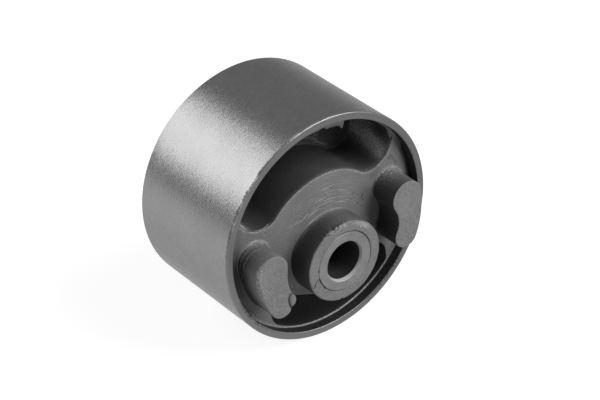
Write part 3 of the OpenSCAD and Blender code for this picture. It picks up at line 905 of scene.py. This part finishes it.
def addHalf(skin, side):
    skin.side, front = side, side < 0
    edge = rubber["edgeSoft"]
    mouth, upper, lower = upperOutline(True), upperOutline(False), lowerOutline(front)
    leftLug = lugOutline(rubber["leftWaistR" if front else "lugWaistR"])
    lugs = [lugOutline(rubber["lugWaistR"]), counterClockwise(mirrorLine(leftLug))]
    hubFoot = rubber["hubR"] + rubber["hubFillet"]
    hubLoop = arcLine(hubCentre, hubFoot, 0, 360, 360.0 / rubber["hubSegments"])[:-1]
    outer = arcLine((0, 0), layout["boreR"] - 0.01, 0, 360, 0.75)[:-1]
    holes = [grownLoop(mouth, edge), grownLoop(lower, edge), hubLoop]
    holes += [grownLoop(loop, footFillet(loop)) for loop in lugs]
    flat, triangles, marks = fillBetween(outer, holes, rubber["gridStep"], pitPoints() if front else None)
    out = faceOut(flat)
    hubSpan = np.hypot(flat[:, 0], flat[:, 1] - hubCentre[1])
    hubTurn = np.degrees(np.arctan2(flat[:, 1] - hubCentre[1], flat[:, 0]))
    ringMark = risen(hubSpan, *faceMarks["ringFrom"]) * risen(hubSpan, *faceMarks["ringTo"])
    ringMark = ringMark * around(hubTurn, *faceMarks["ringSide"]) * (0.6 + 0.4 * bellCurve(hubSpan, 15.5, 4))
    scuffAndHighlightMark = np.zeros(len(flat))
    # painted shade on the bevel beside each leg, where the face falls to the sleeve
    dusk = faceMarks["legDusk"] * np.clip(1.6 * legFall(flat) - 0.2, 0, 1)
    if front:
        reach, rise = np.hypot(*flat.T), np.degrees(np.arctan2(flat[:, 1], -flat[:, 0]))
        for x, z, size, depth in faceMarks["pits"]:
            out -= depth * np.clip(1 - (np.hypot(flat[:, 0] - x, flat[:, 1] - z) / size) ** 2, 0, 1)
        scratch = gapTo(flat, trackPoints(faceMarks["scratch"], 60))
        scuffAndHighlightMark = faceMarks["scratchPale"] * bellCurve(scratch, 0, faceMarks["scratchWidth"])
        # painted highlight along the upper opening's edge
        scuffAndHighlightMark[marks[1]] += faceMarks["mouthPale"]
        # painted light that lifts the hub's shadow off the web below it
        scuffAndHighlightMark += faceMarks["litPatchPale"] * nearTo(flat, faceMarks["litPatch"], faceMarks["litPatchSize"])
        scuffAndHighlightMark += 0.14 * around(hubTurn, 105, 30) * bellCurve(hubSpan, 17, 5)  # faint bloom over the hub
        # painted highlight on the lit front edge of the lining
        lining = np.clip((reach - faceMarks["liningFrom"]) / 0.2, 0, 1) * np.clip(-flat[:, 1] / 8, 0, 1)
        scuffAndHighlightMark += faceMarks["liningPale"] * lining
        hairs = np.vstack([trackPoints(line, 60) for line in faceMarks["hairs"]])
        # hairs and dots are dark marks; leftDusk is painted shade left of the left lug, and shades are
        # painted shadow beside the right lug
        shades = [faceMarks["hairDark"] * bellCurve(gapTo(flat, hairs), 0, faceMarks["hairWidth"]),
                  faceMarks["dotDark"] * bellCurve(gapTo(flat, dotPlaces()), 0, faceMarks["dotSize"]),
                  risen(reach, *faceMarks["leftDusk"]) * bellCurve(rise, *faceMarks["leftTurn"])]
        shades += [faceMarks["shadeDark"] * nearTo(flat, (x, z), size) for x, z, size in faceMarks["shades"]]
        dusk = np.maximum(dusk, np.max(shades, axis=0))
        ringMark = ringMark * (1 + 0.8 * around(hubTurn, 112, 18) * bellCurve(hubSpan, 15, 2.5))
    made = skin.add(flat, out, rings=ringMark, scuff=scuffAndHighlightMark, deep=dusk)
    skin.fill(made, triangles)
    # rounded edges and walls of the two openings, with a painted highlight along each edge and painted shade
    # that deepens into the openings
    walls = []
    for loop, at in ((mouth, marks[1]), (lower, marks[2])):
        rimOut = faceOut(grownLoop(loop, edge))
        rings = [made[at]]
        # the lining's lip carries a painted highlight
        lining = np.clip((np.hypot(*loop.T) - faceMarks["liningFrom"]) / 0.15, 0, 1) * (loop[:, 1] < 0)
        for t in quarterSteps(4):
            rings.append(skin.add(grownLoop(loop, edge * (1 - np.sin(t))), rimOut - edge * (1 - np.cos(t)),
                                  deep=0.25 * np.sin(t) ** 2 * (1 - lining),
                                  scuff=np.maximum(0.7 * np.sin(2 * t), 1.5 * lining)))
        walls.append((rings, rimOut - edge))
    rings, rimOut = walls[0]
    floorSoft = rubber["floorSoft"]
    for share in np.linspace(0, 1, 15)[1:]:
        depth = share * (rimOut - rubber["membraneHalf"] - floorSoft)
        ease = np.clip(depth / rubber["mouthTaper"], 0, 1)[:, None]
        loop = mouth * (1 - ease) + upper * ease
        crestX, crestZ = (start + lean * depth for start, lean in flankBand["crest"])
        away = np.hypot(np.abs(loop[:, 0]) - crestX, loop[:, 1] - crestZ)
        flank = bellCurve(away, 0, flankBand["width"] + flankBand["widen"] * depth)
        # painted shade that deepens into the opening and over the ledge (beside), lifted along the painted
        # light of the flank band
        dusk = np.clip(np.clip(0.5 - 0.012 * loop[:, 0], 0.3, 0.7) + depth / 6, 0, 0.74)
        beside = np.clip((loop[:, 1] - crestZ - 1) / 1.5, 0, 1) * np.clip((np.abs(loop[:, 0]) - 22) / 2, 0, 1)
        dusk = np.maximum(dusk, flankBand["beside"] * beside)
        dusk = dusk * (1 - flank * np.clip(0.3 + 0.3 * depth, 0, 1))
        rings.append(skin.add(loop, rimOut - depth, deep=dusk,
                              scuff=flank * np.clip(0.1 + 0.6 * depth, 0, 2.8)))
    # painted shade on the membrane's rounded foot
    for t in np.radians((30, 60)):
        rings.append(skin.add(grownLoop(upper, -floorSoft * (1 - np.cos(t))),
                              rubber["membraneHalf"] + floorSoft * (1 - np.sin(t)), deep=0.7))
    skin.rows(rings)
    curls = np.vstack([trackPoints(line, 60) for line in membraneCurls["lines"]])
    spots = np.vstack([besideTrack(line, 30, 0.2) for line in membraneCurls["lines"]]) if front else None
    flat, triangles, (rim,) = fillBetween(grownLoop(upper, -floorSoft), [], 0.8, spots)
    out = rubber["membraneHalf"] + 0.14 * smoothNoise(flat, 2.2, 4.0)
    curl = bellCurve(gapTo(flat, curls), 0, membraneCurls["width"]) * (1.0 if front else 0.0)
    out += membraneCurls["rise"] * curl
    out[rim] = rubber["membraneHalf"]
    # painted shade on the membrane, less on the curls
    floor = skin.add(flat, out, deep=0.68 * (1 - 0.6 * curl), scuff=0.8 * curl)
    skin.band(rings[-1], floor[rim])
    skin.fill(floor, triangles)
    rings, rimOut = walls[1]
    # painted shade down the walls of the lower opening
    for share in (0.012, 0.1, 0.25, 0.5, 0.75, 1.0):
        rings.append(skin.add(lower, rimOut * (1 - 0.8 * share), deep=min(1.0, 0.85 + share)))
    skin.rows(rings)
    bore = addHub(skin, made[marks[3]], front)
    for loop, at, left in zip(lugs, marks[4:], (False, True)):
        addLug(skin, loop, made[at], left, front)
    return made[marks[0]], rings[-1], bore


def makeRubberBody():
    skin = Skin()
    frontRings = addHalf(skin, -1)
    backRings = addHalf(skin, 1)
    skin.side = -1
    skin.band(backRings[0], frontRings[0])
    skin.band(frontRings[1], backRings[1])
    skin.band(frontRings[2], backRings[2])
    piece = makePiece("rubber_moulding", skin, bodyRubber)
    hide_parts("rubber_body")


makeRubberBody()


# Flash: a torn lip at the top of the rim, a flap at the right leg's corner and a thread in the left valley

cornerFlap = {
    "edge": ((38.0, 33.25), (36.0, 33.05), (34.2, 32.75), (32.9, 32.35), (31.6, 32.3), (30.4, 31.95),
             (29.5, 31.8), (29.3, 32.5), (29.5, 33.25)),
    "steps": 70, "out": 17.75, "thick": 0.42, "root": 33.35,
}
tornLip = {
    "edge": ((96.5, 33.66), (92.0, 33.35), (88.4, 33.15), (85.6, 33.4), (84.4, 33.3), (84.1, 32.75),
             (82.9, 32.42), (81.0, 32.55), (79.2, 32.45), (77.4, 32.5), (76.0, 32.3), (74.8, 32.05),
             (73.9, 31.45), (72.9, 31.3), (72.75, 32.3), (72.95, 33.1), (72.5, 33.6), (71.5, 33.66)),
    "steps": 170, "out": 20.96, "thick": 0.42, "root": 33.85,
}


def makeTornEdge(name, torn, material):
    skin = Skin()
    turn, reach = np.array(torn["edge"]).T
    steps = np.linspace(0, len(turn) - 1, torn["steps"])
    turn, reach = (np.interp(steps, np.arange(len(reach)), v) for v in (turn, reach))
    reach = reach + 0.09 * noiseRow(steps, 2.4, 1.0)
    reach = np.minimum(reach, torn["root"] - 0.18)
    way = np.radians(turn)
    spoke = np.column_stack((np.cos(way), np.sin(way)))
    rows = []
    section = ((0.0, 0.0), (0.5, 0.03), (0.9, 0.08), (1.0, 0.2), (0.9, 0.32), (0.5, 0.38),
               (0.0, torn["thick"]))
    for share, drop in section:
        radius = torn["root"] * (1 - share) + reach * share
        rows.append(skin.add(spoke * radius[:, None], torn["out"] - drop, scuff=0.06))
    skin.closeStrip(rows)
    makePiece(name, skin, material)


valleyThread = {
    "line": ((-22.9, 9.6), (-21.6, 8.85), (-20.4, 8.55), (-19.2, 8.62), (-18.1, 9.0), (-17.4, 9.4)),
    "out": 17.55, "radius": 0.17,
}


def makeValleyThread():
    skin = Skin()
    path = trackPoints(valleyThread["line"], 60)
    for _ in range(12):
        path[1:-1] = (path[:-2] + 2 * path[1:-1] + path[2:]) / 4
    side = sideOf(path)
    size = valleyThread["radius"] * np.sin(np.linspace(0.12, np.pi - 0.12, len(path))) ** 0.5
    size = size * (1 + 0.35 * noiseRow(range(len(path)), 0.4, 2.0))
    rows = []
    for a in np.arange(8) * np.pi / 4:
        flat = path + side * (size * math.cos(a))[:, None]
        rows.append(skin.add(flat, valleyThread["out"] + 1.4 * size * math.sin(a), scuff=1.0))
    skin.closeStrip(rows)
    makePiece("valley_thread", skin, flashRubber)


makeTornEdge("torn_lip", tornLip, flashRubber)
makeTornEdge("corner_flap", cornerFlap, bodyRubber)
makeValleyThread()


# Camera, light and floor

camera = {
    "place": (-280.13, -433.23, 370.20),
    "right": (0.78378, -0.61132, -0.10939), "up": (0.43151, 0.40941, 0.80385),
    "back": (-0.44662, -0.67724, 0.58468), "lens": 129.82, "sensor": 36.0,
}


def makeCamera():
    data = bpy.data.cameras.new("photoCamera")
    data.lens, data.sensor_width, data.sensor_fit = camera["lens"], camera["sensor"], "HORIZONTAL"
    data.clip_start, data.clip_end = 0.01, 50.0
    seat = bpy.data.objects.new("photoCamera", data)
    axes = np.array((camera["right"], camera["up"], camera["back"])).T
    u, _, v = np.linalg.svd(axes)
    seat.matrix_world = Matrix.Translation(Vector(camera["place"]) * mm) @ Matrix((u @ v).tolist()).to_4x4()
    bpy.context.scene.collection.objects.link(seat)
    bpy.context.scene.camera = seat


makeCamera()

studio = {
    "floorTone": 0.42, "floorGlow": 0.8, "shineLeft": 0.68, "shineRight": 0.3, "shineEdge": 0.07,
    "fill": 0.1, "surround": 0.37, "floorReach": 4.0, "floorRough": 0.9,
    "backBox": {"turn": 121.0, "rise": 33.0, "far": 0.9, "wide": 0.74, "high": 0.6, "glow": 2.3},
    "frontBox": {"turn": -49.0, "rise": 32.0, "far": 1.0, "wide": 0.65, "high": 0.95, "glow": 6.0},
    "sideBox": {"turn": 203.0, "rise": 27.0, "far": 1.0, "wide": 0.7, "high": 0.6, "glow": 1.0},
}


def makeLight(name, box):
    data = bpy.data.lights.new(name, "AREA")
    data.shape, data.size, data.size_y = "RECTANGLE", box["wide"], box["high"]
    data.energy = box["glow"] * math.pi * box["wide"] * box["high"]  # glow is how bright the box itself looks
    lamp = bpy.data.objects.new(name, data)
    turn, rise = math.radians(box["turn"]), math.radians(box["rise"])
    way = Vector((math.cos(turn) * math.cos(rise), math.sin(turn) * math.cos(rise), math.sin(rise)))
    lamp.location = way * box["far"]
    lamp.rotation_euler = way.to_track_quat("Z", "Y").to_euler()
    bpy.context.scene.collection.objects.link(lamp)


def lightRays(tree):  # kinds of ray, and 1 for those that a surface reflects or lets through
    rays = tree.nodes.new("ShaderNodeLightPath").outputs
    return rays, mathNode(tree, "MAXIMUM", rays["Is Glossy Ray"], rays["Is Transmission Ray"])


def makeStudio():
    scene = bpy.context.scene
    scene.view_settings.view_transform = "Standard"
    world = bpy.data.worlds.new("studio")
    scene.world = world
    world.use_nodes = True
    tree = world.node_tree
    rays, shine = lightRays(tree)
    tone = mathNode(tree, "MAXIMUM", rampNode(tree, shine, 0.0, 1.0, studio["fill"], studio["surround"]),
                    rays["Is Camera Ray"])
    tree.nodes["Background"].inputs["Color"].default_value = grey(1.0)
    wire(tree, tone, tree.nodes["Background"].inputs["Strength"])
    for name in ("backBox", "frontBox", "sideBox"):
        makeLight(name, studio[name])
    mesh = bpy.data.meshes.new("floor")
    reach, low = studio["floorReach"], -layout["sleeveR"] * mm
    corners = [(x * reach, y * reach, low) for x, y in ((-1, -1), (1, -1), (1, 1), (-1, 1))]
    mesh.from_pydata(corners, [], [(0, 1, 2, 3)])
    floor = bpy.data.objects.new("floor", mesh)
    material, tree, shader = newMaterial("floorWhite")
    shader.inputs["Base Color"].default_value = grey(studio["floorTone"])
    shader.inputs["Roughness"].default_value = studio["floorRough"]
    rays, shine = lightRays(tree)
    place = tree.nodes.new("ShaderNodeSeparateXYZ")
    wire(tree, addNode(tree, "ShaderNodeTexCoord").outputs["Object"], place.inputs[0])
    glow = rampNode(tree, place.outputs["X"], -studio["shineEdge"], studio["shineEdge"],
                    studio["shineLeft"], studio["shineRight"])
    seen = mathNode(tree, "ADD", times(tree, rays["Is Camera Ray"], studio["floorGlow"]),
                    times(tree, shine, glow))
    shader.inputs["Emission Color"].default_value = grey(1.0)
    wire(tree, seen, shader.inputs["Emission Strength"])
    mesh.materials.append(material)
    scene.collection.objects.link(floor)


makeStudio()
print("studio set")
